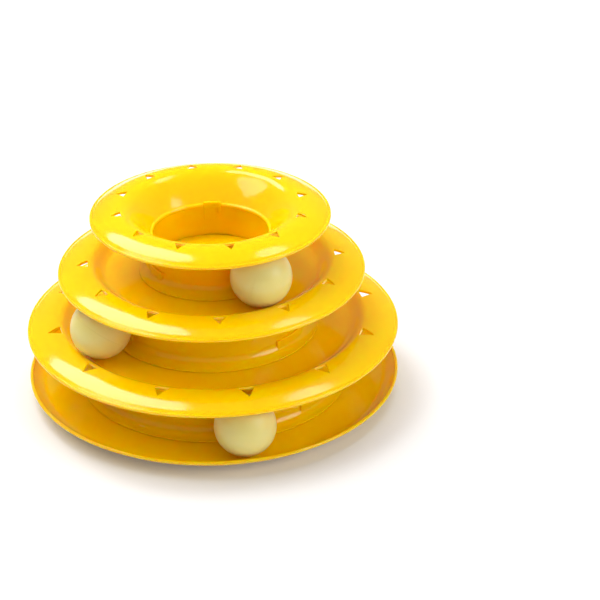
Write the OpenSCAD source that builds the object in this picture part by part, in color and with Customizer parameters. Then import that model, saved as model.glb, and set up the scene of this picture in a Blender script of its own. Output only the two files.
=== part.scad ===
// Cat ball track toy: a tower of three round tracks with a ball trapped in each.
// A base tray carries three saucer-shaped rings, each standing on its own neck, and
// each neck is locked to the hub below it by a short twist.
// Millimetres, +Z up. The origin is on the tower's axis, on the surface it stands on.

/* [Balls] */
// Diameter of each ball
ball_d = 40; // [38:0.5:41]
// Wall of each hollow ball
ball_wall = 1.2; // [0.8:0.1:2]
// Gap between a ball and the neck at the inside of its track
ball_side_gap = 2; // [1.5:0.25:2.5]
// Angle of the lower ball round its track
lower_ball_angle = 280; // [0:1:359]
// Angle of the middle ball round its track
middle_ball_angle = 211; // [0:1:359]
// Angle of the upper ball round its track
upper_ball_angle = 300; // [0:1:359]

/* [Mouldings] */
// Wall of the tray and the rings
wall = 1.8; // [1.5:0.1:2.2]
// Radius of the rounded bead along each outer edge
edge_bead_r = 1.2; // [1.15:0.05:1.5]
// Gap between a piece and what it stands on
seat_gap = 0.3; // [0.2:0.05:0.5]

/* [Base tray] */
// Distance that the tray's rim stands out past the lower ring's edge
tray_overhang = 0.5; // [0:0.25:2]
// Height of the tray's floor above the table
tray_floor_h = 6.3; // [6:0.1:9]
// Height of the tray's rim above its floor
tray_lip_h = 6.8; // [4:0.1:8]
// Width of the slope from the floor up to the rim
tray_lip_w = 12; // [8:0.5:14]
// Width of the level top of the tray's hub, in to the round opening
tray_ledge_w = 21.35; // [16:0.05:30]
// Distance of the foot ring under the tray from the tray's rim, to the middle of its wall
foot_ring_inset = 22.5; // [19:0.5:28]

/* [Lower ring] */
// Radius of the lower ring at its outer edge
lower_r = 125; // [123:0.5:130]
// Width of the roof that the lower ring makes over its ball, from its neck out to its edge
lower_roof_w = 41.5; // [39:0.5:43]
// Distance of the crest inside the circle that the middle of the lower ball follows
lower_crest_in = 2.5; // [0:0.5:5]
// Distance that the crest lies in over the track on the ring, under the side of the middle ball
lower_crest_tuck = 2.5; // [0:0.5:3]
// Drop of the flange, from the crest down to the edge
lower_drop = 5.8; // [4:0.1:9]
// Depth of the track on the ring, from the crest down to the floor
lower_track_depth = 6.6; // [4:0.1:7.5]
// Gap over the lower ball, below the crest of the lower ring
lower_roof_gap = 4.9; // [3:0.1:6]
// Width of the level top of the lower ring's hub, in to the round opening
lower_ledge_w = 17.35; // [13:0.05:25]
// Distance of the middle of each triangular hole outside the crest
lower_tri_out = 4.3; // [3:0.1:8]
// Width of each triangular hole along the ring
lower_tri_w = 8.5; // [6:0.5:9.5]
// Length of each triangular hole across the ring
lower_tri_l = 8; // [5:0.5:8.5]
// Angle of the first triangular hole
lower_tri_angle = 11; // [0:0.5:29.5]

/* [Middle ring] */
// Width of the roof that the middle ring makes over its ball, from its neck out to its edge
middle_roof_w = 38.8; // [36:0.1:43]
// Distance of the crest inside the circle that the middle of the middle ball follows
middle_crest_in = 4.5; // [1:0.5:6]
// Distance that the crest lies in over the track on the ring, under the side of the upper ball
middle_crest_tuck = 1.5; // [0:0.5:3]
// Drop of the flange, from the crest down to the edge
middle_drop = 5.6; // [4:0.1:9]
// Depth of the track on the ring, from the crest down to the floor
middle_track_depth = 7.2; // [4:0.1:8]
// Gap over the middle ball, below the crest of the middle ring
middle_roof_gap = 5.3; // [3:0.1:6.5]
// Width of the level top of the middle ring's hub, in to the round opening
middle_ledge_w = 13.85; // [10:0.05:20]
// Distance of the middle of each triangular hole outside the crest
middle_tri_out = 4.6; // [3:0.2:8]
// Width of each triangular hole along the ring
middle_tri_w = 7.2; // [5:0.2:8]
// Length of each triangular hole across the ring
middle_tri_l = 6.4; // [4:0.2:7]
// Angle of the first triangular hole
middle_tri_angle = 2.5; // [0:0.5:29.5]

/* [Top ring] */
// Width of the roof that the top ring makes over its ball, from its neck out to its edge
top_roof_w = 39; // [36:0.5:43]
// Distance of the crest inside the circle that the middle of the upper ball follows
top_crest_in = 2; // [0:0.5:5]
// Drop of the flange, from the crest down to the edge
top_drop = 5.9; // [4:0.1:9]
// Depth of the funnel, from the crest down to the rim of the neck
top_funnel_depth = 19.5; // [15:0.5:22]
// Gap over the upper ball, below the crest of the top ring
top_roof_gap = 4.4; // [3.5:0.1:6]
// Distance of the middle of each triangular hole outside the crest
top_tri_out = 2.1; // [1:0.1:5]
// Width of each triangular hole along the ring
top_tri_w = 6.4; // [4:0.2:7]
// Length of each triangular hole across the ring
top_tri_l = 6; // [4:0.2:7]
// Angle of the first triangular hole
top_tri_angle = 11; // [0:0.5:29.5]
// Radius of the bead round the rim of the neck
rim_bead_r = 1.6; // [1.2:0.1:1.8]

/* [Triangular holes] */
// Number of triangular holes in each ring
tri_count = 12; // [8:1:14]

/* [Neck flares] */
// Radius of the hollow curve at the foot of each neck
flare_r = 8; // [4:0.5:10]
// Height of the edge at the end of each flare
flare_edge_h = 0.8; // [0.6:0.1:1.2]

/* [Twist lock] */
// Number of lugs round each hub
lug_count = 3; // [2:1:4]
// Angle of the first lug
lug_angle = 88; // [0:1:119]
// Angle of the turn that frees a ring from the hub below it
twist_angle = 12; // [8:1:14]
// Length of each lug round its hub
lug_w = 10; // [7:0.5:12]
// Reach of each lug out of its hub
lug_reach = 2; // [1.5:0.1:2.2]
// Height of each lug
lug_h = 2.5; // [2:0.1:3]
// Height of a hub above the floor round it
hub_h = 5.5; // [5.3:0.1:6.5]
// Gap between a hub and the neck round it
hub_gap = 0.35; // [0.25:0.05:0.5]
// Wall of the pockets that hold the lugs
pocket_wall = 1.5; // [1.2:0.1:1.8]
// Height of the pockets above the foot of the neck
pocket_h = 9.5; // [8:0.5:11]
// Height of the step between the foot of the neck and the foot of each pocket
pocket_step = 0.4; // [0.3:0.1:0.8]

/* [Rim keys] */
// Width of each key's head on the rim of the top ring
key_head_w = 12; // [9:0.5:15]
// Height of each key's head above the rim
key_head_h = 3; // [2:0.25:4]
// Width of each key's panel
key_panel_w = 7.5; // [6:0.5:8.5]
// Height of each key's panel below the rim
key_panel_h = 10.5; // [8:0.5:14]
// Reach of each key into the opening
key_reach = 1.2; // [0.8:0.1:1.6]
// Width of the rib beside each key's panel
key_rib_w = 2; // [1.5:0.25:3]
// Distance of the panel and the rib from the ends of the head
key_inset = 0.4; // [0.2:0.1:0.8]

/* [Foot pads] */
// Number of soft pads under the tray
pad_count = 6; // [6:1:6]
// Radius of each pad
pad_r = 7; // [5:0.5:8]
// Height of each pad
pad_h = 3.4; // [3:0.1:4]
// Depth of the socket that holds each pad
pad_sunk = 2; // [1.5:0.1:2.4]
// Gap between a pad and the side of its socket
pad_gap = 0.2; // [0.1:0.05:0.4]
// Wall of each pad's socket
pad_socket_wall = 1.8; // [1.4:0.1:2.4]

/* [Hidden] */
$fn = 96;

// How far a cut runs past the surface that it cuts
overrun = 1;
// Bands in each curved stretch of a profile
flange_bands = 12;
lip_bands = 10;
funnel_bands = 14;
flare_bands = 8;

ball_r = ball_d / 2;

// Heights, each worked up from the ball below it
tray_rim_z = tray_floor_h + tray_lip_h;
lower_crest_z = tray_floor_h + seat_gap + ball_d + lower_roof_gap + wall;
lower_floor_z = lower_crest_z - lower_track_depth;
middle_crest_z = lower_floor_z + seat_gap + ball_d + middle_roof_gap + wall;
middle_floor_z = middle_crest_z - middle_track_depth;
top_crest_z = middle_floor_z + seat_gap + ball_d + top_roof_gap + wall;
top_rim_z = top_crest_z - top_funnel_depth;

// Radii, each worked in from the lower ring's edge. A track is as wide as its ball and
// the gap beside it, less the tuck of the crest, and the neck of the next ring stands at
// its inside. An orbit is the circle that the middle of a ball follows.
track_w = ball_side_gap + ball_d;
lower_neck_r = lower_r - lower_roof_w;
lower_orbit_r = lower_neck_r + ball_side_gap + ball_r;
lower_crest_r = lower_orbit_r - lower_crest_in;
middle_neck_r = lower_crest_r + lower_crest_tuck - track_w;
middle_r = middle_neck_r + middle_roof_w;
middle_orbit_r = middle_neck_r + ball_side_gap + ball_r;
middle_crest_r = middle_orbit_r - middle_crest_in;
top_neck_r = middle_crest_r + middle_crest_tuck - track_w;
top_r = top_neck_r + top_roof_w;
upper_orbit_r = top_neck_r + ball_side_gap + ball_r;
top_crest_r = upper_orbit_r - top_crest_in;
tray_r = lower_r + tray_overhang;
foot_ring_r = tray_r - foot_ring_inset;

// The flat part of each floor ends where the slope up to the crest or rim begins
flat_past_orbit_share = 0.4;

// Twist lock: the lug's foot stands at this share of the hub's height
lug_z_share = 0.5;
// Gap between a lug and the slot that it turns along
lug_gap = hub_gap;
// The way in from below is cut this share as wide of the lug as the slot is
way_in_share = 0.6;
// Depths in the wall, as shares of it, at which the parts of a rim key are rooted
key_root_shares = [0.5, 0.35, 0.65];
// Reaches of a rim key's head, panel and rib, as shares of the key's reach
key_reach_shares = [1, 0.5, 0.75];

// Foot pads
pad_pocket_r = pad_r + pad_gap;
pad_boss_r = pad_pocket_r + pad_socket_wall;
pad_boss_z = pad_h - pad_sunk;

// Angle, in degrees, of an arc of this length at this radius
function arc_deg(length, r) = length / r * 180 / PI;

// A smooth fall from 1 to 0, level at both ends
function ease(t) = (1 + cos(180 * t)) / 2;

// A list in the opposite order
function reversed(list) = [for (i = [len(list) - 1:-1:0]) list[i]];

// A line of points moved down by the wall
function sunk(list) = [for (p = list) [p[0], p[1] - wall]];

// Points from the outer edge up to the crest: a quarter sine, level at the crest
function flange_line(edge_r, crest_r, edge_z, crest_z) = [
    for (i = [0:flange_bands])
        let (t = i / flange_bands)
        [edge_r + (crest_r - edge_r) * t, edge_z + (crest_z - edge_z) * sin(90 * t)]
];

// Points from the crest down to the floor, level at both ends; the crest is left out
function dip_line(crest_r, foot_r, crest_z, floor_z) = [
    for (i = [1:lip_bands])
        let (t = i / lip_bands)
        [crest_r + (foot_r - crest_r) * t, floor_z + (crest_z - floor_z) * ease(t)]
];

// Points down a quarter cosine, from the crest to the rim of the neck; the crest is left out
function funnel_line(crest_r, rim_r, crest_z, rim_z) = [
    for (i = [1:funnel_bands])
        let (t = i / funnel_bands)
        [crest_r - (crest_r - rim_r) * t, rim_z + (crest_z - rim_z) * cos(90 * t)]
];

// The foot of a neck in section, from its inside to its outside: a level underside, a short
// upright edge and a hollow curve that flares in to the neck
function neck_foot(neck_r, foot_z) = concat(
    [[neck_r - wall, foot_z], [neck_r + flare_r, foot_z]],
    [
        for (i = [0:flare_bands])
            let (a = 90 * i / flare_bands)
            [neck_r + flare_r * (1 - sin(a)), foot_z + flare_edge_h + flare_r * (1 - cos(a))]
    ]
);

// Points across the floor and the raised hub, in to the round opening
function hub_line(hub_r, hole_r, floor_z) = [
    [hub_r, floor_z],
    [hub_r, floor_z + hub_h],
    [hole_r, floor_z + hub_h]
];

// Points under the floor and the hub, from the round opening outwards
function under_hub_line(hub_r, hole_r, floor_z) = [
    [hole_r, floor_z + hub_h - wall],
    [hub_r - wall, floor_z + hub_h - wall],
    [hub_r - wall, floor_z - wall]
];

// Radius of the hub that a neck of this outer radius stands round
function hub_r_in(neck_r) = neck_r - wall - hub_gap;

// A block between two radii, two heights and two angles round the axis
module sector(r, z, a) {
    rotate([0, 0, a[0]])
        rotate_extrude(angle = a[1] - a[0])
            translate([r[0], z[0]])
                square([r[1] - r[0], z[1] - z[0]]);
}

// The rounded bead along an outer edge, in section
module edge_bead(edge_r, edge_z) {
    translate([edge_r - edge_bead_r, edge_z - wall / 2])
        circle(r = edge_bead_r);
}

// A row of triangular holes, each with its flat side towards the axis
module triangle_row(r, z, w, l, h, turn) {
    for (k = [0:tri_count - 1])
        rotate([0, 0, turn + k * 360 / tri_count])
            translate([r, 0, z])
                linear_extrude(height = h, center = true)
                    polygon([[-l / 2, -w / 2], [l / 2, 0], [-l / 2, w / 2]]);
}

// The lugs round a hub, which the next ring's neck turns over
module hub_lugs(neck_r, floor_z) {
    hub_r = hub_r_in(neck_r);
    half = arc_deg(lug_w, hub_r) / 2;
    lug_z = floor_z + hub_h * lug_z_share;
    for (k = [0:lug_count - 1])
        let (a = lug_angle + k * 360 / lug_count)
            sector([hub_r - wall / 2, hub_r + lug_reach], [lug_z, lug_z + lug_h], [a - half, a + half]);
}

// The raised pockets at the foot of a neck, before their insides are cut
module pocket_bulges(neck_r, foot_z) {
    hub_r = hub_r_in(neck_r);
    cavity_r = hub_r + lug_reach + hub_gap;
    half = arc_deg(lug_w, hub_r) / 2;
    side = arc_deg(lug_gap + pocket_wall, hub_r);
    for (k = [0:lug_count - 1])
        let (a = lug_angle + k * 360 / lug_count)
            sector(
                [neck_r - wall / 2, cavity_r + pocket_wall],
                [foot_z + pocket_step, foot_z + pocket_h],
                [a - half - twist_angle - side, a + half + side]
            );
}

// The insides of the pockets: a slot that the lug turns along, and a way in from below
module pocket_cavities(neck_r, foot_z) {
    hub_r = hub_r_in(neck_r);
    half = arc_deg(lug_w, hub_r) / 2;
    gap = arc_deg(lug_gap, hub_r);
    way_in_gap = gap * way_in_share;
    lug_z = foot_z - seat_gap + hub_h * lug_z_share;
    for (k = [0:lug_count - 1])
        let (a = lug_angle + k * 360 / lug_count) {
            sector(
                [neck_r - wall - overrun, hub_r + lug_reach + hub_gap],
                [lug_z - lug_gap, lug_z + lug_h + lug_gap],
                [a - half - twist_angle - gap, a + half + gap]
            );
            sector(
                [neck_r - wall - overrun * 2, hub_r + lug_reach + hub_gap * way_in_share],
                [foot_z - overrun, lug_z + lug_h / 2],
                [a - half - twist_angle - way_in_gap, a + half - twist_angle + way_in_gap]
            );
        }
}

// A ring with a flange, a track, a hub and a neck
module track_ring(r, neck_r, crest_r, drop, depth, crest_z, ledge_w, orbit_r, hub_neck_r, foot_z, tri) {
    floor_z = crest_z - depth;
    edge_z = crest_z - drop;
    foot_r = orbit_r + (crest_r - orbit_r) * flat_past_orbit_share;
    hub_r = hub_r_in(hub_neck_r);
    hole_r = hub_r - ledge_w;
    slope = concat(
        flange_line(r - edge_bead_r, crest_r, edge_z, crest_z),
        dip_line(crest_r, foot_r, crest_z, floor_z)
    );
    difference() {
        union() {
            rotate_extrude() {
                polygon(concat(
                    slope,
                    hub_line(hub_r, hole_r, floor_z),
                    under_hub_line(hub_r, hole_r, floor_z),
                    reversed(sunk(slope))
                ));
                edge_bead(r, edge_z);
                polygon(concat(
                    [[neck_r - wall, floor_z - wall / 2]],
                    neck_foot(neck_r, foot_z),
                    [[neck_r, floor_z - wall / 2]]
                ));
            }
            pocket_bulges(neck_r, foot_z);
            hub_lugs(hub_neck_r, floor_z);
        }
        pocket_cavities(neck_r, foot_z);
        triangle_row(crest_r + tri[0], crest_z, tri[1], tri[2], (drop + wall + overrun) * 2, tri[3]);
    }
}

// The tray: a shallow dish with a hub, a foot ring and sockets for the pads
module base_tray() {
    edge_r = tray_r - edge_bead_r;
    lip_r = tray_r - tray_lip_w;
    hub_r = hub_r_in(lower_neck_r);
    hole_r = hub_r - tray_ledge_w;
    lip = [
        for (i = [0:lip_bands])
            let (t = i / lip_bands)
            [edge_r + (lip_r - edge_r) * t, tray_rim_z - tray_lip_h * sin(90 * t)]
    ];
    color("gold")
        difference() {
            union() {
                rotate_extrude() {
                    polygon(concat(
                        lip,
                        hub_line(hub_r, hole_r, tray_floor_h),
                        under_hub_line(hub_r, hole_r, tray_floor_h),
                        reversed(sunk(lip))
                    ));
                    edge_bead(tray_r, tray_rim_z);
                    translate([foot_ring_r - wall / 2, pad_boss_z])
                        square([wall, tray_floor_h - wall / 2 - pad_boss_z]);
                }
                for (k = [0:pad_count - 1])
                    rotate([0, 0, k * 360 / pad_count])
                        translate([foot_ring_r, 0, pad_boss_z])
                            cylinder(r = pad_boss_r, h = tray_floor_h - wall / 2 - pad_boss_z);
                hub_lugs(lower_neck_r, tray_floor_h);
            }
            for (k = [0:pad_count - 1])
                rotate([0, 0, k * 360 / pad_count])
                    translate([foot_ring_r, 0, pad_boss_z - overrun])
                        cylinder(r = pad_pocket_r, h = pad_sunk + overrun);
        }
}

module lower_ring() {
    color("gold")
        track_ring(
            r = lower_r, neck_r = lower_neck_r, crest_r = lower_crest_r, drop = lower_drop,
            depth = lower_track_depth, crest_z = lower_crest_z, ledge_w = lower_ledge_w,
            orbit_r = middle_orbit_r, hub_neck_r = middle_neck_r, foot_z = tray_floor_h + seat_gap,
            tri = [lower_tri_out, lower_tri_w, lower_tri_l, lower_tri_angle]
        );
}

module middle_ring() {
    color("gold")
        track_ring(
            r = middle_r, neck_r = middle_neck_r, crest_r = middle_crest_r, drop = middle_drop,
            depth = middle_track_depth, crest_z = middle_crest_z, ledge_w = middle_ledge_w,
            orbit_r = upper_orbit_r, hub_neck_r = top_neck_r, foot_z = lower_floor_z + seat_gap,
            tri = [middle_tri_out, middle_tri_w, middle_tri_l, middle_tri_angle]
        );
}

// The keys inside the rim of the top ring: a head, a panel below it and a rib beside it
module rim_keys() {
    rim_r = top_neck_r - wall;
    half = arc_deg(key_head_w, rim_r) / 2;
    inset = arc_deg(key_inset, rim_r);
    panel = arc_deg(key_panel_w, rim_r);
    rib = arc_deg(key_rib_w, rim_r);
    r = [for (k = [0:2]) [rim_r - key_reach * key_reach_shares[k], rim_r + wall * key_root_shares[k]]];
    for (k = [0:lug_count - 1])
        let (a = lug_angle + k * 360 / lug_count) {
            sector(r[0], [top_rim_z - key_reach, top_rim_z + key_head_h], [a - half, a + half]);
            sector(r[1], [top_rim_z - key_panel_h, top_rim_z], [a + half - inset - panel, a + half - inset]);
            sector(r[2], [top_rim_z - key_panel_h / 2, top_rim_z], [a - half + inset, a - half + inset + rib]);
        }
}

// The top ring: a flange, a round funnel and a neck, with no track on it
module top_ring() {
    rim_r = top_neck_r - wall;
    edge_z = top_crest_z - top_drop;
    foot_z = middle_floor_z + seat_gap;
    flange = flange_line(top_r - edge_bead_r, top_crest_r, edge_z, top_crest_z);
    color("gold")
        difference() {
            union() {
                rotate_extrude() {
                    polygon(concat(
                        flange,
                        funnel_line(top_crest_r, rim_r, top_crest_z, top_rim_z),
                        neck_foot(top_neck_r, foot_z),
                        reversed(funnel_line(top_crest_r, top_neck_r, top_crest_z - wall, top_rim_z)),
                        reversed(sunk(flange))
                    ));
                    edge_bead(top_r, edge_z);
                    translate([rim_r + wall / 2, top_rim_z])
                        circle(r = rim_bead_r);
                }
                pocket_bulges(top_neck_r, foot_z);
                rim_keys();
            }
            pocket_cavities(top_neck_r, foot_z);
            triangle_row(
                top_crest_r + top_tri_out, top_crest_z, top_tri_w, top_tri_l,
                (top_drop + wall + overrun) * 2, top_tri_angle
            );
        }
}

// A hollow ball at its place round a track
module ball(orbit_r, at, floor_z) {
    color("ivory")
        rotate([0, 0, at])
            translate([orbit_r, 0, floor_z + seat_gap + ball_r])
                difference() {
                    sphere(r = ball_r);
                    sphere(r = ball_r - ball_wall);
                }
}

module lower_ball() {
    ball(lower_orbit_r, lower_ball_angle, tray_floor_h);
}

module middle_ball() {
    ball(middle_orbit_r, middle_ball_angle, lower_floor_z);
}

module upper_ball() {
    ball(upper_orbit_r, upper_ball_angle, middle_floor_z);
}

// A soft round pad, held in a socket under the tray
module foot_pad(k) {
    color("lightgrey")
        rotate([0, 0, (k - 1) * 360 / pad_count])
            translate([foot_ring_r, 0, 0])
                cylinder(r = pad_r, h = pad_h);
}

base_tray();
lower_ring();
middle_ring();
top_ring();
lower_ball();
middle_ball();
upper_ball();
foot_pad(1);  // foot_pad_1
foot_pad(2);  // foot_pad_2
foot_pad(3);  // foot_pad_3
foot_pad(4);  // foot_pad_4
foot_pad(5);  // foot_pad_5
foot_pad(6);  // foot_pad_6
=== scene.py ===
"""Looks of the cat ball track toy: four glossy yellow mouldings, three milky balls and six soft pads.

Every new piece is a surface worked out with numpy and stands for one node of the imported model.
Lengths in the tables are millimetres; the meshes are in metres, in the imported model's frame.
"""

import math

import bpy
import numpy as np
from mathutils import Matrix, Vector


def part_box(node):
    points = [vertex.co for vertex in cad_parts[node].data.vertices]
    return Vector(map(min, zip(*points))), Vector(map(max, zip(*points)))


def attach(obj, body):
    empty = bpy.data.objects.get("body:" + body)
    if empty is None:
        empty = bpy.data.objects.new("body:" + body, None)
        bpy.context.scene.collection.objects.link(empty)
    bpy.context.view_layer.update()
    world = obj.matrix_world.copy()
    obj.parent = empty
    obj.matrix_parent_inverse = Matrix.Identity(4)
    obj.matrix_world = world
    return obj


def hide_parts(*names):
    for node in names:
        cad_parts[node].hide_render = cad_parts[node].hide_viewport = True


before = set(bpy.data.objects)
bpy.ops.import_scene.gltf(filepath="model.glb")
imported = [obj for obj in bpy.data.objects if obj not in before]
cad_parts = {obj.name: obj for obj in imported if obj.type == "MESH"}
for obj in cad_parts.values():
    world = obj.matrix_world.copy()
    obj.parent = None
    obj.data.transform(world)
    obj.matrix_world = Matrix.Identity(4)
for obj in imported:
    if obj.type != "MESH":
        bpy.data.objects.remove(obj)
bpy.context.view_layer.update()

MM = 0.001

# Mouldings
WALL = 1.8
EDGE_BEAD_R = 1.2
RIM_BEAD_R = 1.6
HUB_GAP = 0.35
HUB_H = 5.5
SEAT_GAP = 0.3
CORNER_R = 0.5
INNER_CORNER_R = 0.4

# The flare at a neck's foot: its radius, its short upright edge with that edge's rounding, and the angle
# at which its quarter circle starts
FLARE_R = 8
FLARE_EDGE_H = 0.8
FLARE_CORNER_R = 0.3
FLARE_START = 264

# Grid of the turned surfaces: columns round the axis and steps along the section
COLUMNS = 360
ROW_STEP = 1.4
SIDE_STEP = ROW_STEP * 1.6
BEAD_STEP = 15
BEAD_STEP_IN = 6
ROUND_STEPS = 96
SHARP_ANGLE = 38
BEVEL_ANGLE = 40

# Triangular holes: their number, half the columns and the margin of the patch round each, the rounding of
# the edges and the power that rounds the corners
HOLES = 12
HOLE_COLUMNS = 5
HOLE_MARGIN = 3
HOLE_EDGE_R = 0.3
CORNER_POWER = 12

# Twist lock
LUGS = 3
LUG_AT = 88
TWIST = 12
LUG_W = 10
LUG_REACH = 2
LUG_H = 2.5
LUG_EDGE_R = 0.4
POCKET_WALL = 1.5
POCKET_FOOT_H = 0.4
POCKET_H = 9.5
POCKET_EDGE_R = 0.6
CUT_PAST = 1
WAY_IN_SHORT = 0.1

# Keys inside the rim of the top ring: width and inset, the head's reach in, out, down and up from the rim,
# and the panel and the rib below it
KEY_W, KEY_INSET = 12, 0.4
KEY_HEAD_IN, KEY_HEAD_OUT, KEY_HEAD_DOWN, KEY_HEAD_UP = 1.2, 0.9, 1.2, 3
KEY_PANEL_W, KEY_PANEL_H, KEY_PANEL_REACH = 7.5, 10.5, 0.6
KEY_RIB_W, KEY_RIB_H, KEY_RIB_IN, KEY_RIB_OUT = 2, 5.25, 0.9, 1.1

# Each ring: radius of its crest, drop to the edge, depth of the track, outer radius of its neck, radius of
# the opening, radius of the neck that stands on it, and its holes' distance outside the crest, width,
# length and turn in degrees
RINGS = {
    "lower_ring": (103, 5.8, 6.6, 83.5, 44, 63.5, (4.7, 10.6, 9.4, 11)),
    "middle_ring": (81, 5.6, 7.2, 63.5, 24.5, 40.5, (5, 8.9, 7.6, 2.5)),
}
TOP_CREST_R, TOP_DROP, FUNNEL_DEPTH, TOP_NECK_R = 60.5, 5.9, 19.5, 40.5
TOP_HOLES = (2.3, 7.8, 7, 11)

# Balls and their tracks
BALL_R = 20
BALL_WALL = 1.2
BALL_STEPS = 128
BALL_SIDE_GAP = 2
WELD_DEPTH = 0.1
WELD_W = 0.35
FLAT_PAST_ORBIT_SHARE = 0.4

# Base tray and its pads
TRAY_FLOOR_H, TRAY_LIP_H, TRAY_LIP_W, TRAY_HOLE_R, TRAY_NECK_R = 6.3, 6.8, 12, 60, 83.5
FOOT_RING_R = 103
PADS = 6
PAD_GAP, PAD_SUNK, SOCKET_WALL, BOSS_EDGE_R = 0.2, 2, 1.8, 0.3
PAD_DISH_MARGIN, PAD_DISH_H, PAD_FOOT_R, PAD_TOP_R = 2.2, 0.35, 0.7, 0.4


def corners(node):
    """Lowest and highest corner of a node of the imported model, in millimetres."""
    lo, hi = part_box(node)
    return np.array(lo) / MM, np.array(hi) / MM


# Lines in section


def fall(t):
    """A smooth fall from 1 to 0, level at both ends: half a cosine wave."""
    return (1 + np.cos(np.pi * np.clip(t, 0, 1))) / 2


def rise(t):
    """A rise from 0 to 1 that levels off at its end: a quarter sine wave."""
    return np.sin(np.pi / 2 * np.clip(t, 0, 1))


def arc(centre, radius, start, end, steps):
    """Points on a circle's arc in the plane of radius and height, angles in degrees, both ends included."""
    a = np.radians(np.linspace(start, end, steps + 1))
    return np.column_stack([centre[0] + radius * np.cos(a), centre[1] + radius * np.sin(a)])


def around(centre, radius, start, end):
    """Points on a bead's circle, anticlockwise from one point's direction to another's, which start and
    end a small step inside the two."""
    across = [start[0] - centre[0], end[0] - centre[0]]
    up = [start[1] - centre[1], end[1] - centre[1]]
    a = np.degrees(np.arctan2(up, across))
    turn = (a[1] - a[0]) % 360
    steps = max(4, int(turn / BEAD_STEP))
    return arc(centre, radius, a[0] + BEAD_STEP_IN, a[0] + turn - BEAD_STEP_IN, steps)


def rounded(corner_points, steps=4):
    """A line through corners (radius, height, rounding): each corner is cut back by the same length along
    both sides and bridged by a quadratic curve, which is an arc to the eye."""
    c = np.array(corner_points, float)
    p, cut = c[:, :2], c[:, 2:]
    before = p - np.roll(p, 1, 0)
    after = np.roll(p, -1, 0) - p
    unit = [v / np.maximum(np.linalg.norm(v, axis=1, keepdims=True), 1e-9) for v in (before, after)]
    t = np.linspace(0, 1, steps + 1)[None, :, None]
    a, b, d = (v[:, None, :] for v in (p - unit[0] * cut, p, p + unit[1] * cut))
    line = (1 - t) ** 2 * a + 2 * t * (1 - t) * b + t**2 * d
    keep = (cut > 0) | (np.arange(steps + 1) == 0)[None, :]
    return line[keep]


def spaced(line, step):
    """The same closed line with more points: each side is split evenly so that none is longer than step."""
    after = np.roll(line, -1, 0) - line
    parts = np.maximum(1, np.ceil(np.linalg.norm(after, axis=1) / step)).astype(int)
    which = np.repeat(np.arange(len(line)), parts)
    share = (np.arange(parts.sum()) - np.repeat(np.cumsum(parts) - parts, parts)) / parts[which]
    return line[which] + after[which] * share[:, None]


def outside(line, centre, radius):
    """The points of a line that lie outside a circle."""
    return line[np.hypot(line[:, 0] - centre[0], line[:, 1] - centre[1]) > radius]


def neck_foot(neck_r, foot_z):
    """Corners (radius, height, rounding) of a neck's foot, from its inside to its outside: a level
    underside, a short upright edge and a quarter circle that flares in to the neck."""
    tip, start_z = neck_r + FLARE_R, foot_z + FLARE_EDGE_H
    flare = arc((tip, start_z + FLARE_R), FLARE_R, FLARE_START, 180, 14)
    foot = [
        (neck_r - WALL, foot_z, CORNER_R),
        (tip, foot_z, FLARE_CORNER_R),
        (tip, start_z, FLARE_CORNER_R),
    ]
    return np.concatenate([foot, np.column_stack([flare, np.zeros(len(flare))])])


# Meshes


def linked(name, points, faces):
    """A smooth mesh object at the origin, in the scene, from points in millimetres and their faces."""
    mesh = bpy.data.meshes.new(name)
    mesh.from_pydata(points * MM, [], faces)
    mesh.shade_smooth()
    obj = bpy.data.objects.new(name, mesh)
    bpy.context.scene.collection.objects.link(obj)
    return obj


def piece(name, points, faces):
    """An object from points and an array of four-sided faces, without the points that no face uses."""
    used, faces = np.unique(faces, return_inverse=True)
    return linked(name, points[used], faces.reshape(-1, 4))


def together(name, parts, bevel=0.0):
    """Closed surfaces as one object. Each is given as its points and its arrays of faces, and a bevel
    rounds its sharper edges."""
    points, faces, start = [], [], 0
    for part_points, *arrays in parts:
        for array in arrays:
            faces += (array + start).tolist()
        points.append(part_points)
        start += len(part_points)
    obj = linked(name, np.concatenate(points), faces)
    if bevel:
        mod = obj.modifiers.new("rounded_edges", "BEVEL")
        mod.width = bevel * MM
        mod.segments = 3
        mod.limit_method = "ANGLE"
        mod.angle_limit = math.radians(BEVEL_ANGLE)
    return obj


def turned(line, start=0.0):
    """A closed line in section carried round the axis: every point becomes a circle of COLUMNS points.
    Gives the points and the numbers of the points as columns by rows."""
    a = np.radians(start + np.arange(COLUMNS) * 360 / COLUMNS)[:, None]
    r, z = line[:, 0][None, :], line[:, 1][None, :]
    points = np.stack([r * np.cos(a), r * np.sin(a), np.broadcast_to(z, (COLUMNS, len(line)))], -1)
    return points.reshape(-1, 3), np.arange(COLUMNS * len(line)).reshape(COLUMNS, len(line))


def skin(number):
    """Faces of a closed line that is carried round the axis, as columns by rows."""
    after = np.roll(number, -1, 0)
    return np.stack([number, after, np.roll(after, -1, 1), np.roll(number, -1, 1)], -1)


def quads(first, second):
    """Faces between loops of point numbers (the last axis runs round the loop), facing the side from which
    the loops run anticlockwise and the second one lies inside the first."""
    return np.stack([first, np.roll(first, -1, -1), np.roll(second, -1, -1), second], -1).reshape(-1, 4)


def hole_outline(angle, width, length, grow):
    """Distance from a triangular hole's middle to its edge in each direction: the three sides' distances
    joined by a power mean, which rounds the corners. The flat side faces the axis."""
    side = math.atan2(length, width / 2)
    away = length * width / 3 / math.hypot(length, width / 2)
    total = 0
    for facing, distance in ((math.pi, length / 3), (side, away), (-side, away)):
        total = total + (np.maximum(np.cos(angle - facing), 0) / (distance + grow)) ** CORNER_POWER
    return total ** (-1 / CORNER_POWER)


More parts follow.
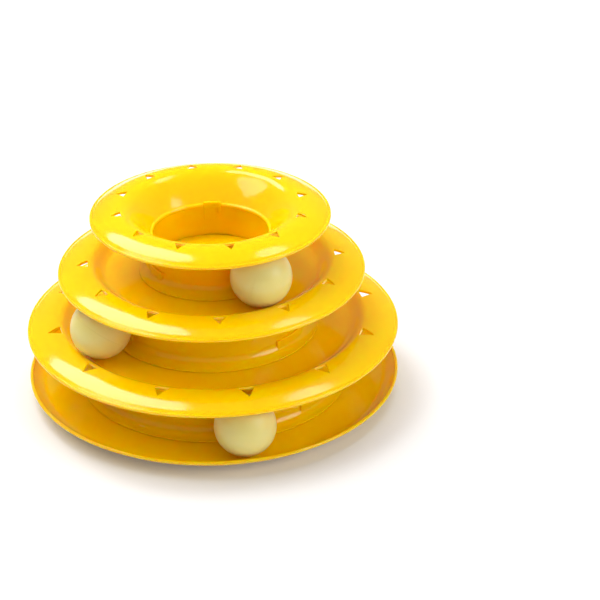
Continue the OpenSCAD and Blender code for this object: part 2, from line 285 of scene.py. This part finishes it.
def moulding(name, line, holes=None, top=None, under=None, crest_r=None):
    """A moulding from its closed line in section, with a row of triangular holes through its flange.
    Round each hole the turned grid gives way to a patch of loops that run from the grid to the hole's
    rounded edge, down through the wall and out again to the grid on the lower face."""
    if holes is None:
        points, number = turned(line)
        return piece(name, points, skin(number).reshape(-1, 4))
    out, width, length, turn = holes
    middle = crest_r + out - length / 6
    points, number = turned(line, turn)
    faces = skin(number)
    above = np.abs(line[:, 1] - top(line[:, 0])) < 1e-6
    below = np.abs(line[:, 1] - under(line[:, 0])) < 1e-6
    nearest = middle - length / 3 - HOLE_MARGIN
    farthest = middle + 2 * length / 3 + HOLE_MARGIN
    near = (line[:, 0] > nearest) & (line[:, 0] < farthest)
    upper = np.flatnonzero(above & near)
    lower = np.flatnonzero(below & near)[::-1]
    spot = np.arange(HOLES) * (COLUMNS // HOLES)
    across = np.arange(-HOLE_COLUMNS, HOLE_COLUMNS + 1)
    # The faces that give way, on both sides of the flange
    keep = np.ones(faces.shape[:2], bool)
    gone = (spot[:, None] + across[None, :-1]) % COLUMNS
    for rows in (upper, lower[::-1]):
        keep[gone[:, :, None], rows[None, None, :-1]] = False
    # Column and row steps round those faces, anticlockwise seen from above
    n, side = len(upper), len(across) - 1
    col = np.concatenate(
        [np.full(n - 1, -HOLE_COLUMNS), across[:-1], np.full(n - 1, HOLE_COLUMNS), across[:0:-1]]
    )
    row = np.concatenate(
        [np.arange(n - 1), np.full(side, n - 1), np.arange(n - 1, 0, -1), np.zeros(side, int)]
    )
    columns = (spot[:, None] + col[None, :]) % COLUMNS
    # Their outline in plan, about the hole's middle at angle 0
    a = np.radians(col * 360 / COLUMNS)
    r = line[upper, 0][row]
    plan = np.stack([r * np.cos(a) - middle, r * np.sin(a)], -1)
    way = np.arctan2(plan[:, 1], plan[:, 0])
    unit = np.stack([np.cos(way), np.sin(way)], -1)

    def loop(grow, share=1.0):
        shape = unit * hole_outline(way, width, length, grow)[:, None]
        return (1 - share) * plan + share * shape + np.array([middle, 0])

    def lifted(flat, surface, drop=0.0):
        return np.column_stack([flat, surface(np.hypot(flat[:, 0], flat[:, 1])) - drop])

    spread = [loop(HOLE_EDGE_R, share) for share in (0.35, 0.65, 0.87, 1)]
    bend = np.radians([22.5, 45, 67.5, 90])
    rim = [(loop(HOLE_EDGE_R * (1 - math.sin(b))), HOLE_EDGE_R * (1 - math.cos(b))) for b in bend]
    layers = [lifted(flat, top) for flat in spread]
    layers += [lifted(flat, top, drop) for flat, drop in rim]
    layers += [lifted(flat, under, -drop) for flat, drop in rim[::-1]]
    layers += [lifted(flat, under) for flat in spread[::-1]]
    x, y, z = np.moveaxis(np.array(layers), -1, 0)
    a = np.radians(turn + spot * 360 / COLUMNS)[:, None, None]
    turned_x, turned_y = x * np.cos(a) - y * np.sin(a), x * np.sin(a) + y * np.cos(a)
    patch = np.stack([turned_x, turned_y, np.broadcast_to(z, turned_x.shape)], -1)
    inner = len(points) + np.arange(turned_x.size).reshape(turned_x.shape)
    first, last = (number[columns, rows[row]][:, None] for rows in (upper, lower))
    loops = np.concatenate([first, inner, last], 1)
    points = np.concatenate([points, patch.reshape(-1, 3)])
    faces = np.concatenate([faces[keep], quads(loops[:, :-1], loops[:, 1:])[:, ::-1]])
    return piece(name, points, faces)


def block(radii, heights, angles):
    """A block between two radii, two heights and two angles round the axis: its four-sided section carried
    along the arc, with the two ends closed."""
    steps = max(2, int((angles[1] - angles[0]) / 2))
    a = np.radians(np.linspace(*angles, steps + 1))[:, None]
    r = np.array([radii[1], radii[1], radii[0], radii[0]], float)[None, :]
    z = np.array([heights[0], heights[1], heights[1], heights[0]], float)
    points = np.stack([r * np.cos(a), r * np.sin(a), np.broadcast_to(z, (steps + 1, 4))], -1).reshape(-1, 3)
    number = np.arange(len(points)).reshape(-1, 4)
    side = np.roll(number, -1, 1)
    walls = np.stack([number[:-1], number[1:], side[1:], side[:-1]], -1).reshape(-1, 4)
    return points, np.concatenate([walls, number[:1], number[-1:, ::-1]])


def blocks(name, radii, heights, angles, bevel=0.0):
    """Blocks of the same radii and heights at several angles round the axis, as one object."""
    return together(name, [block(radii, heights, a) for a in angles], bevel)


def lathe(r, z, steps, place=(0, 0)):
    """A line from the axis out and back to the axis, carried round it; its two ends are single points.
    Gives the points, the four-sided faces and the triangles at the ends, facing outward."""
    a = np.arange(steps) * 2 * np.pi / steps
    x = place[0] + r[1:-1, None] * np.cos(a)
    y = place[1] + r[1:-1, None] * np.sin(a)
    circles = np.stack([x, y, np.broadcast_to(z[1:-1, None], x.shape)], -1).reshape(-1, 3)
    points = np.concatenate([[[*place, z[0]]], circles, [[*place, z[-1]]]])
    number = 1 + np.arange(len(circles)).reshape(-1, steps)
    after = np.roll(number, -1, 1)
    sides = np.stack([number[:-1], after[:-1], after[1:], number[1:]], -1).reshape(-1, 4)
    first = np.stack([np.zeros(steps, int), after[0], number[0]], -1)
    last = np.stack([np.full(steps, len(points) - 1), number[-1], after[-1]], -1)
    return points, sides, np.concatenate([first, last])


def cylinders(name, places, radius, heights, bevel=0.0):
    """Upright round blocks at places in plan, each a line of four corners lathed round its own axis."""
    r = np.array([0, radius, radius, 0.0])
    z = np.array([heights[0], heights[0], heights[1], heights[1]], float)
    return together(name, [lathe(r, z, ROUND_STEPS, place) for place in places], bevel)


def carved(obj, joined=(), cut=()):
    """The piece with other shapes joined to it and then cut out of it. The shapes are used up."""
    for operation, tools in (("UNION", joined), ("DIFFERENCE", cut)):
        for tool in tools:
            mod = obj.modifiers.new(tool.name, "BOOLEAN")
            mod.operation = operation
            mod.object = tool
            mod.solver = "MANIFOLD"
    plain = obj.data
    mesh = bpy.data.meshes.new_from_object(obj.evaluated_get(bpy.context.evaluated_depsgraph_get()))
    obj.modifiers.clear()
    obj.data = mesh
    bpy.data.meshes.remove(plain)
    mesh.name = obj.name
    for tool in (*joined, *cut):
        bpy.data.objects.remove(tool)
    mesh.set_sharp_from_angle(angle=math.radians(SHARP_ANGLE))
    return obj


# Twist lock and keys


def lug_arc(radius, length=LUG_W):
    """Half the angle, in degrees, of a lug's arc at this radius."""
    return math.degrees(length / radius) / 2


def lug_places():
    """Angles of the lugs' middles."""
    return [LUG_AT + k * 360 / LUGS for k in range(LUGS)]


def lug_angles(low, high):
    """The two ends of an arc about each lug's middle, from their angles on either side of it."""
    return [(a + low, a + high) for a in lug_places()]


def hub_lugs(name, hub_r, floor_z):
    """The small lugs round a hub, which the neck of the ring above turns over."""
    z = floor_z + HUB_H / 2
    half = lug_arc(hub_r)
    return blocks(
        name, (hub_r - WALL / 2, hub_r + LUG_REACH), (z, z + LUG_H), lug_angles(-half, half), LUG_EDGE_R
    )


def pockets(name, neck_r, foot_z):
    """The raised pockets at a neck's foot, the slots inside them and the ways in from below."""
    hub_r = neck_r - WALL - HUB_GAP
    half = lug_arc(hub_r)
    side = math.degrees((HUB_GAP + POCKET_WALL) / hub_r)
    gap = math.degrees(HUB_GAP / hub_r)
    lug_z = foot_z - SEAT_GAP + HUB_H / 2
    reach = hub_r + LUG_REACH + HUB_GAP
    bulges = blocks(
        name + "_bulges",
        (neck_r - WALL / 2, reach + POCKET_WALL),
        (foot_z + POCKET_FOOT_H, foot_z + POCKET_H),
        lug_angles(-half - TWIST - side, half + side),
        POCKET_EDGE_R,
    )
    slots = blocks(
        name + "_slots",
        (neck_r - WALL - CUT_PAST, reach),
        (lug_z - HUB_GAP, lug_z + LUG_H + HUB_GAP),
        lug_angles(-half - TWIST - gap, half + gap),
    )
    ways_in = blocks(
        name + "_ways_in",
        (neck_r - WALL - 2 * CUT_PAST, reach - WAY_IN_SHORT),
        (foot_z - CUT_PAST, lug_z + LUG_H / 2),
        lug_angles(-half - TWIST - gap / 2, half - TWIST + gap / 2),
    )
    return bulges, slots, ways_in


def rim_keys(rim_r, rim_z):
    """The keys inside the rim of the top ring: a head, a panel below it and a rib beside it."""
    half = lug_arc(rim_r, KEY_W)
    inset, panel, rib = (math.degrees(v / rim_r) for v in (KEY_INSET, KEY_PANEL_W, KEY_RIB_W))
    heads = blocks(
        "key_heads",
        (rim_r - KEY_HEAD_IN, rim_r + KEY_HEAD_OUT),
        (rim_z - KEY_HEAD_DOWN, rim_z + KEY_HEAD_UP),
        lug_angles(-half, half),
        0.5,
    )
    panels = blocks(
        "key_panels",
        (rim_r - KEY_PANEL_REACH, rim_r + KEY_PANEL_REACH),
        (rim_z - KEY_PANEL_H, rim_z),
        lug_angles(half - inset - panel, half - inset),
        0.25,
    )
    ribs = blocks(
        "key_ribs",
        (rim_r - KEY_RIB_IN, rim_r + KEY_RIB_OUT),
        (rim_z - KEY_RIB_H, rim_z),
        lug_angles(-half + inset, -half + inset + rib),
        0.3,
    )
    return heads, panels, ribs


# The pieces


def track_ring(name):
    """A ring with a sloping flange, a track, a hub and a neck. Its section is one closed line: the flange's
    quarter sine up to the crest, half a cosine down to the floor, the hub, and all of it again one wall
    lower, with the neck hanging from the floor and a bead along the edge."""
    crest_r, drop, depth, neck_r, hole_r, next_neck_r, holes = RINGS[name]
    lo, hi = corners(name)
    crest_z, foot_z = hi[2], lo[2]
    edge_z, floor_z = crest_z - drop, crest_z - depth
    edge_r = (hi[0] - lo[0]) / 2 - EDGE_BEAD_R
    orbit = next_neck_r + BALL_SIDE_GAP + BALL_R
    slope_foot = orbit + (crest_r - orbit) * FLAT_PAST_ORBIT_SHARE
    hub_r = next_neck_r - WALL - HUB_GAP

    def top(r):
        up = edge_z + drop * rise((edge_r - r) / (edge_r - crest_r))
        down = floor_z + depth * fall((crest_r - r) / (crest_r - slope_foot))
        return np.where(r >= crest_r, up, down)

    def under(r):
        return top(r) - WALL

    bead = (edge_r, edge_z - WALL / 2)
    r = np.linspace(edge_r, slope_foot, int((edge_r - slope_foot) / ROW_STEP) + 2)
    upper = outside(np.column_stack([r, top(r)]), bead, EDGE_BEAD_R)
    lower = outside(np.column_stack([r, under(r)]), bead, EDGE_BEAD_R)[::-1]
    inner = rounded(
        [
            (slope_foot, floor_z, 0),
            (hub_r, floor_z, INNER_CORNER_R),
            (hub_r, floor_z + HUB_H, CORNER_R),
            (hole_r, floor_z + HUB_H, CORNER_R),
            (hole_r, floor_z + HUB_H - WALL, CORNER_R),
            (hub_r - WALL, floor_z + HUB_H - WALL, INNER_CORNER_R),
            (hub_r - WALL, floor_z - WALL, CORNER_R),
            (neck_r - WALL, floor_z - WALL, CORNER_R),
            *neck_foot(neck_r, foot_z),
            (neck_r, floor_z - WALL, CORNER_R),
            (slope_foot, floor_z - WALL, 0),
        ]
    )[1:-1]
    line = np.concatenate([upper, inner, lower, around(bead, EDGE_BEAD_R, lower[-1], upper[0])])
    obj = moulding(name + "_moulding", spaced(line, SIDE_STEP), holes, top, under, crest_r)
    bulges, slots, ways_in = pockets(name, neck_r, foot_z)
    return carved(obj, (bulges, hub_lugs(name + "_lugs", hub_r, floor_z)), (slots, ways_in))


def top_ring():
    """The top ring: a quarter sine flange up to the crest, a quarter cosine down to the rim of the neck,
    the neck, and a quarter cosine back up outside it, with beads along the edge and the rim."""
    lo, hi = corners("top_ring")
    crest_z, foot_z = hi[2], lo[2]
    crest_r, rim_r, edge_r = TOP_CREST_R, TOP_NECK_R - WALL, (hi[0] - lo[0]) / 2 - EDGE_BEAD_R
    edge_z, rim_z = crest_z - TOP_DROP, crest_z - FUNNEL_DEPTH

    def saucer(r, end_r, drop):
        flange = edge_z + TOP_DROP * rise((edge_r - r) / (edge_r - crest_r)) - drop
        share = np.clip((crest_r - r) / (crest_r - end_r), 0, 1)
        funnel = rim_z + (FUNNEL_DEPTH - drop) * np.cos(np.pi / 2 * share)
        return np.where(r >= crest_r, flange, funnel)

    def top(r):
        return saucer(r, rim_r, 0)

    def under(r):
        return saucer(r, TOP_NECK_R, WALL)

    bead, rim = (edge_r, edge_z - WALL / 2), (rim_r + WALL / 2, rim_z)
    below = np.linspace(edge_r, TOP_NECK_R, int((edge_r - TOP_NECK_R) / ROW_STEP) + 2)
    above = np.append(below, np.linspace(TOP_NECK_R, rim_r, 8)[1:])
    upper = outside(outside(np.column_stack([above, top(above)]), bead, EDGE_BEAD_R), rim, RIM_BEAD_R)
    lower = outside(outside(np.column_stack([below, under(below)]), bead, EDGE_BEAD_R), rim, RIM_BEAD_R)
    lower = lower[::-1]
    low_in, low_out = (np.array([r, rim_z - RIM_BEAD_R]) for r in (rim_r, TOP_NECK_R))
    line = np.concatenate(
        [
            upper,
            around(rim, RIM_BEAD_R, upper[-1], low_in),
            rounded([(*low_in, 0), *neck_foot(TOP_NECK_R, foot_z), (*low_out, 0)]),
            around(rim, RIM_BEAD_R, low_out, lower[0]),
            lower,
            around(bead, EDGE_BEAD_R, lower[-1], upper[0]),
        ]
    )
    obj = moulding("top_ring_moulding", spaced(line, SIDE_STEP), TOP_HOLES, top, under, crest_r)
    bulges, slots, ways_in = pockets("top_ring", TOP_NECK_R, foot_z)
    return carved(obj, (bulges, *rim_keys(rim_r, rim_z)), (slots, ways_in))


def base_tray():
    """The tray: a shallow dish whose slope is a quarter sine, with a hub, a foot ring under it, a bead
    along its rim and six round sockets for the pads."""
    lo, hi = corners("base_tray")
    outer = (hi[0] - lo[0]) / 2
    foot_z = lo[2]
    edge_r, lip_r = outer - EDGE_BEAD_R, outer - TRAY_LIP_W
    floor_z, rim_z = TRAY_FLOOR_H, TRAY_FLOOR_H + TRAY_LIP_H
    hub_r = TRAY_NECK_R - WALL - HUB_GAP
    r = np.linspace(edge_r, lip_r, 16)
    z = rim_z - TRAY_LIP_H * rise((edge_r - r) / (edge_r - lip_r))
    bead = (edge_r, rim_z - WALL / 2)
    upper = outside(np.column_stack([r, z]), bead, EDGE_BEAD_R)
    lower = outside(np.column_stack([r, z - WALL]), bead, EDGE_BEAD_R)[::-1]
    ring = (FOOT_RING_R - WALL / 2, FOOT_RING_R + WALL / 2)
    inner = rounded(
        [
            (lip_r, floor_z, 0),
            (hub_r, floor_z, INNER_CORNER_R),
            (hub_r, floor_z + HUB_H, CORNER_R),
            (TRAY_HOLE_R, floor_z + HUB_H, CORNER_R),
            (TRAY_HOLE_R, floor_z + HUB_H - WALL, CORNER_R),
            (hub_r - WALL, floor_z + HUB_H - WALL, INNER_CORNER_R),
            (hub_r - WALL, floor_z - WALL, CORNER_R),
            (ring[0], floor_z - WALL, CORNER_R),
            (ring[0], foot_z, CORNER_R),
            (ring[1], foot_z, CORNER_R),
            (ring[1], floor_z - WALL, CORNER_R),
            (lip_r, floor_z - WALL, 0),
        ]
    )[1:-1]
    line = np.concatenate([upper, inner, lower, around(bead, EDGE_BEAD_R, lower[-1], upper[0])])
    obj = moulding("tray_moulding", spaced(line, SIDE_STEP))
    a = np.radians(np.arange(PADS) * 360 / PADS)
    places = FOOT_RING_R * np.column_stack([np.cos(a), np.sin(a)])
    pad_lo, pad_hi = corners("foot_pad_1")
    socket_r = (pad_hi[1] - pad_lo[1]) / 2 + PAD_GAP
    bosses = cylinders("bosses", places, socket_r + SOCKET_WALL, (foot_z, floor_z - WALL / 2), BOSS_EDGE_R)
    sockets = cylinders("sockets", places, socket_r, (foot_z - CUT_PAST, foot_z + PAD_SUNK))
    return carved(obj, (bosses, hub_lugs("tray_lugs", hub_r, floor_z)), (sockets,))


def ball(name, node, lean):
    """A hollow ball in two shells. The outer one is a sphere with a shallow weld line round its middle:
    its radius falls by a narrow bell curve there. The ball's poles lean as the weld line should lie."""
    lo, hi = corners(node)
    centre, radius = (lo + hi) / 2, (hi[2] - lo[2]) / 2
    a = np.radians(np.concatenate([np.linspace(-90, -6, 57), np.linspace(-5, 5, 21), np.linspace(6, 90, 57)]))
    skin_r = radius - WELD_DEPTH * np.exp(-((radius * a / WELD_W) ** 2))
    hollow_r = radius - BALL_WALL
    outer = lathe(skin_r * np.cos(a), skin_r * np.sin(a), BALL_STEPS)
    points, *arrays = lathe(hollow_r * np.cos(a), hollow_r * np.sin(a), BALL_STEPS)
    inner = (points, *(array[:, ::-1] for array in arrays))
    tilt, turn = (math.radians(v) for v in lean)
    stand = np.array(Matrix.Rotation(turn, 3, "Z") @ Matrix.Rotation(tilt, 3, "X"))
    return together(name, [(points @ stand.T + centre, *arrays) for points, *arrays in (outer, inner)])


def pad(name, node):
    """A soft round pad: a lathed line with rounded edges and a shallow dish on its underside."""
    lo, hi = corners(node)
    centre, radius, height = (lo + hi) / 2, (hi[1] - lo[1]) / 2, hi[2] - lo[2]
    dish = np.linspace(0, 1, 8)
    foot, top = np.linspace(0, np.pi / 2, 6), np.linspace(0, np.pi / 2, 5)
    r = np.concatenate(
        [
            dish * (radius - PAD_DISH_MARGIN),
            radius - PAD_FOOT_R + PAD_FOOT_R * np.sin(foot),
            radius - PAD_TOP_R + PAD_TOP_R * np.cos(top),
            [radius / 2, 0],
        ]
    )
    z = np.concatenate(
        [
            PAD_DISH_H * fall(dish),
            PAD_FOOT_R - PAD_FOOT_R * np.cos(foot),
            height - PAD_TOP_R + PAD_TOP_R * np.sin(top),
            [height, height],
        ]
    )
    return together(name, [lathe(r, z + lo[2], ROUND_STEPS, centre[:2])])


# Materials


def linear(colour):
    """An sRGB hex colour as linear red, green, blue and alpha."""
    c = np.array([int(colour[i : i + 2], 16) for i in (1, 3, 5)]) / 255
    return (*np.where(c <= 0.04045, c / 12.92, ((c + 0.055) / 1.055) ** 2.4), 1.0)


def add(tree, kind, settings=(), values=(), links=()):
    """Adds a node with its settings, its sockets' values and its links."""
    node = tree.nodes.new(kind)
    for key, value in dict(settings).items():
        setattr(node, key, value)
    for key, value in dict(values).items():
        node.inputs[key].default_value = value
    for key, source in dict(links).items():
        tree.links.new(source, node.inputs[key])
    return node


def fresh(name):
    """A new material with an empty node tree, and that tree."""
    material = bpy.data.materials.new(name)
    material.use_nodes = True
    material.node_tree.nodes.clear()
    return material, material.node_tree


def noise(tree, place, scale, detail, roughness, distortion=0.0):
    """Noise on the object's own coordinates. The scale is the number of patches in a metre."""
    values = {"Scale": scale, "Detail": detail, "Roughness": roughness, "Distortion": distortion}
    return add(tree, "ShaderNodeTexNoise", values=values, links={"Vector": place}).outputs[0]


def between(tree, first, second, factor):
    """A colour between two sRGB colours, as far along as the factor says."""
    colours = {"A": linear(first), "B": linear(second)}
    return add(tree, "ShaderNodeMix", {"data_type": "RGBA"}, colours, {"Factor": factor}).outputs["Result"]


def bumped(tree, height, strength, distance):
    """A surface that rises and falls with a pattern by a distance in metres."""
    values = {"Strength": strength, "Distance": distance}
    return add(tree, "ShaderNodeBump", values=values, links={"Height": height}).outputs["Normal"]


def greater(tree, first, second):
    """The greater of two values."""
    return add(tree, "ShaderNodeMath", {"operation": "MAXIMUM"}, links={0: first, 1: second}).outputs[0]


def finished(material, settings, values, links):
    """The material with a principled shader as its surface."""
    shader = add(material.node_tree, "ShaderNodeBsdfPrincipled", settings, values, links)
    add(material.node_tree, "ShaderNodeOutputMaterial", links={"Surface": shader.outputs["BSDF"]})
    return material


def glossy_polypropylene():
    """Pigmented polypropylene from a polished mould. The eye sees a clean gloss with soft ripples, and red
    and orange light that wanders through the thin wall and glows in the hollows."""
    material, tree = fresh("glossy_yellow_polypropylene")
    place = add(tree, "ShaderNodeTexCoord").outputs["Object"]
    # Streaks of pigment some 40 mm across, from the way the melt fills the mould
    colour = between(tree, "#FFCA00", "#FFD300", noise(tree, place, 25, 2, 0.5, 0.6))
    # Ripples about 9 mm apart, as cooling leaves in a thin wall
    bump = bumped(tree, noise(tree, place, 110, 1, 0.4), 0.35, 0.00006)
    # Scuffs about 2 mm apart that dull the gloss a little
    rough = add(
        tree,
        "ShaderNodeMapRange",
        values={"From Min": 0.35, "From Max": 0.75, "To Min": 0.09, "To Max": 0.14},
        links={"Value": noise(tree, place, 480, 4, 0.65)},
    )
    return finished(
        material,
        {"subsurface_method": "RANDOM_WALK"},
        {
            "IOR": 1.49,
            "Subsurface Weight": 1.0,
            "Subsurface Radius": (1.0, 0.35, 0.05),
            "Subsurface Scale": 0.0016,
        },
        {"Base Color": colour, "Roughness": rough.outputs["Result"], "Normal": bump},
    )


def milky_ball_plastic():
    """Unpigmented polypropylene, blown into a thin shell. The eye sees a milky cream with a satin skin that
    lets the colour round it soak in. Its base colour is also tinted yellow: painted bounce light from the
    yellow rings and tray round it."""
    material, tree = fresh("milky_ball_painted_yellow_bounce")
    place = add(tree, "ShaderNodeTexCoord").outputs["Object"]
    # Clouds about 12 mm across, where the shell is a little thicker or thinner. Both colours are a cream
    # tinted yellow and orange, which is painted bounce light from the yellow mouldings round the balls
    colour = between(tree, "#FFD67A", "#FFE290", noise(tree, place, 80, 3, 0.5))
    # Fine grain about 0.6 mm apart, drawn coarser than real so that it shows
    bump = bumped(tree, noise(tree, place, 1600, 2, 0.5), 0.2, 0.00004)
    return finished(
        material,
        {"subsurface_method": "RANDOM_WALK"},
        {
            "Roughness": 0.34,
            "IOR": 1.49,
            "Subsurface Weight": 0.7,
            "Subsurface Radius": (1.0, 0.75, 0.45),
            "Subsurface Scale": 0.004,
        },
        {"Base Color": colour, "Normal": bump},
    )


def soft_pad_rubber():
    """Thermoplastic rubber, moulded matt. The eye sees a dull grey skin with a fine grain that grips."""
    material, tree = fresh("matt_grey_rubber")
    place = add(tree, "ShaderNodeTexCoord").outputs["Object"]
    # Grain about 0.7 mm apart
    grain = noise(tree, place, 1400, 3, 0.6)
    colour = between(tree, "#B9B7B0", "#C9C7C1", grain)
    bump = bumped(tree, grain, 0.5, 0.0001)
    return finished(material, (), {"Roughness": 0.75, "IOR": 1.5}, {"Base Color": colour, "Normal": bump})


def white_floor():
    """A matt white studio floor. The camera and the reflections see it through a little light of its own,
    with the object's soft shadow kept; far away, where the lamps fail, that light makes up for them."""
    material, tree = fresh("white_studio_floor")
    rays = add(tree, "ShaderNodeLightPath").outputs
    seen = greater(tree, rays["Is Camera Ray"], rays["Is Transmission Ray"])
    seen = greater(tree, seen, rays["Is Glossy Ray"])
    place = add(tree, "ShaderNodeTexCoord").outputs["Object"]
    away = add(tree, "ShaderNodeVectorMath", {"operation": "LENGTH"}, links={0: place})
    level = add(
        tree,
        "ShaderNodeMapRange",
        values={"From Min": 0.8, "From Max": 2.4, "To Min": 0.1, "To Max": 0.9},
        links={"Value": away.outputs["Value"]},
    )
    glow = add(tree, "ShaderNodeMath", {"operation": "MULTIPLY"}, links={0: seen, 1: level.outputs[0]})
    return finished(
        material,
        (),
        {
            "Base Color": linear("#E0E0E0"),
            "Roughness": 1,
            "Specular IOR Level": 0,
            "Emission Color": (1, 1, 1, 1),
        },
        {"Emission Strength": glow.outputs[0]},
    )


# The object

yellow, milky, rubber = glossy_polypropylene(), milky_ball_plastic(), soft_pad_rubber()
made = [
    (base_tray(), "tray", "base_tray", "yellow_moulding", yellow),
    (track_ring("lower_ring"), "lower_ring", "lower_ring", "yellow_moulding", yellow),
    (track_ring("middle_ring"), "middle_ring", "middle_ring", "yellow_moulding", yellow),
    (top_ring(), "top_ring", "top_ring", "yellow_moulding", yellow),
]
for level, lean in (("lower", (62, 20)), ("middle", (38, 115)), ("upper", (75, 250))):
    node = level + "_ball"
    made.append((ball(node + "_shell", node, lean), node, node, "ball_shell", milky))
for k in range(1, PADS + 1):
    made.append((pad(f"pad_{k}", f"foot_pad_{k}"), "tray", f"foot_pad_{k}", "soft_pad", rubber))
for obj, body, node, slot, material in made:
    obj.data.materials.clear()
    obj.data.materials.append(material)
    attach(obj, body)
    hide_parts(node)

# Floor, lamps and sky, in metres

FLOOR_HALF = 20.0
TARGET = Vector((0, 0, 0.07))
LAMP_DISTANCE = 3.0

square = FLOOR_HALF * np.array([(-1, -1, 0), (1, -1, 0), (1, 1, 0), (-1, 1, 0)])
floor_mesh = bpy.data.meshes.new("studio_floor")
floor_mesh.from_pydata(square, [], [(0, 1, 2, 3)])
floor_mesh.materials.append(white_floor())
floor = bpy.data.objects.new("studio_floor", floor_mesh)
bpy.context.scene.collection.objects.link(floor)


def softbox(name, azimuth, elevation, wide, tall, level, gloss=True):
    """An oval lamp that faces the object. Azimuth is measured from +X towards +Y; wide and tall are the
    angles it fills, in degrees; level is its brightness, where 1 is white. Without gloss it lights the
    object and isn't mirrored in it."""
    a, e = math.radians(azimuth), math.radians(elevation)
    way = Vector((math.cos(a) * math.cos(e), math.sin(a) * math.cos(e), math.sin(e)))
    lamp = bpy.data.lights.new(name, "AREA")
    lamp.shape = "ELLIPSE"
    lamp.size = 2 * LAMP_DISTANCE * math.tan(math.radians(wide) / 2)
    lamp.size_y = 2 * LAMP_DISTANCE * math.tan(math.radians(tall) / 2)
    lamp.energy = level * math.pi * lamp.size * lamp.size_y * math.pi / 4
    obj = bpy.data.objects.new(name, lamp)
    obj.location = TARGET + way * LAMP_DISTANCE
    obj.rotation_euler = way.to_track_quat("Z", "Y").to_euler()
    obj.visible_glossy = gloss
    bpy.context.scene.collection.objects.link(obj)


# The long streaks along the front left of the flanges
softbox("key_softbox", 128, 56, 16, 42, 6.0)
# The soft patch in the funnel's far right side
softbox("left_softbox", 180, 52, 36, 30, 3.3)
# The short streaks on the right of the flanges
softbox("right_softbox", 36, 61, 16, 14, 4.0)
# The patches on the flared feet of the necks and in the funnel's far left side
softbox("front_window", 334, 26, 34, 30, 3.8)
# Most of the soft light, and the shadow's direction
softbox("overhead_fill", 108, 66, 62, 62, 2.6, gloss=False)
# Light into the hollows from the front
softbox("front_fill", 290, 30, 60, 40, 1.0, gloss=False)

world = bpy.data.worlds.new("studio")
world.use_nodes = True
world.node_tree.nodes.clear()
sky = add(world.node_tree, "ShaderNodeBackground", values={"Color": (1, 1, 1, 1), "Strength": 0.2})
add(world.node_tree, "ShaderNodeOutputWorld", links={"Surface": sky.outputs[0]})
bpy.context.scene.world = world

# The camera stands in front at this elevation and distance from a point on the axis, in metres, and is
# then turned on the spot, which puts the object left of the middle

ELEVATION, DISTANCE, LOOK_Z = 30.401, 1.3366, 0.0067
PAN, TILT, ROLL = -2.571, 2.009, -1.713
camera = bpy.data.objects.new("camera", bpy.data.cameras.new("camera"))
camera.data.lens, camera.data.sensor_width = 116.5, 36
camera.data.clip_start, camera.data.clip_end = 0.05, 30
e = math.radians(ELEVATION)
turn = Matrix.Rotation(math.radians(90) - e, 4, "X")
for angle, axis in ((PAN, "Y"), (TILT, "X"), (ROLL, "Z")):
    turn = turn @ Matrix.Rotation(math.radians(angle), 4, axis)
stand = Matrix.Translation((0, -math.cos(e) * DISTANCE, LOOK_Z + math.sin(e) * DISTANCE))
camera.matrix_world = stand @ turn
bpy.context.scene.collection.objects.link(camera)
bpy.context.scene.camera = camera
bpy.context.scene.view_settings.view_transform = "Standard"
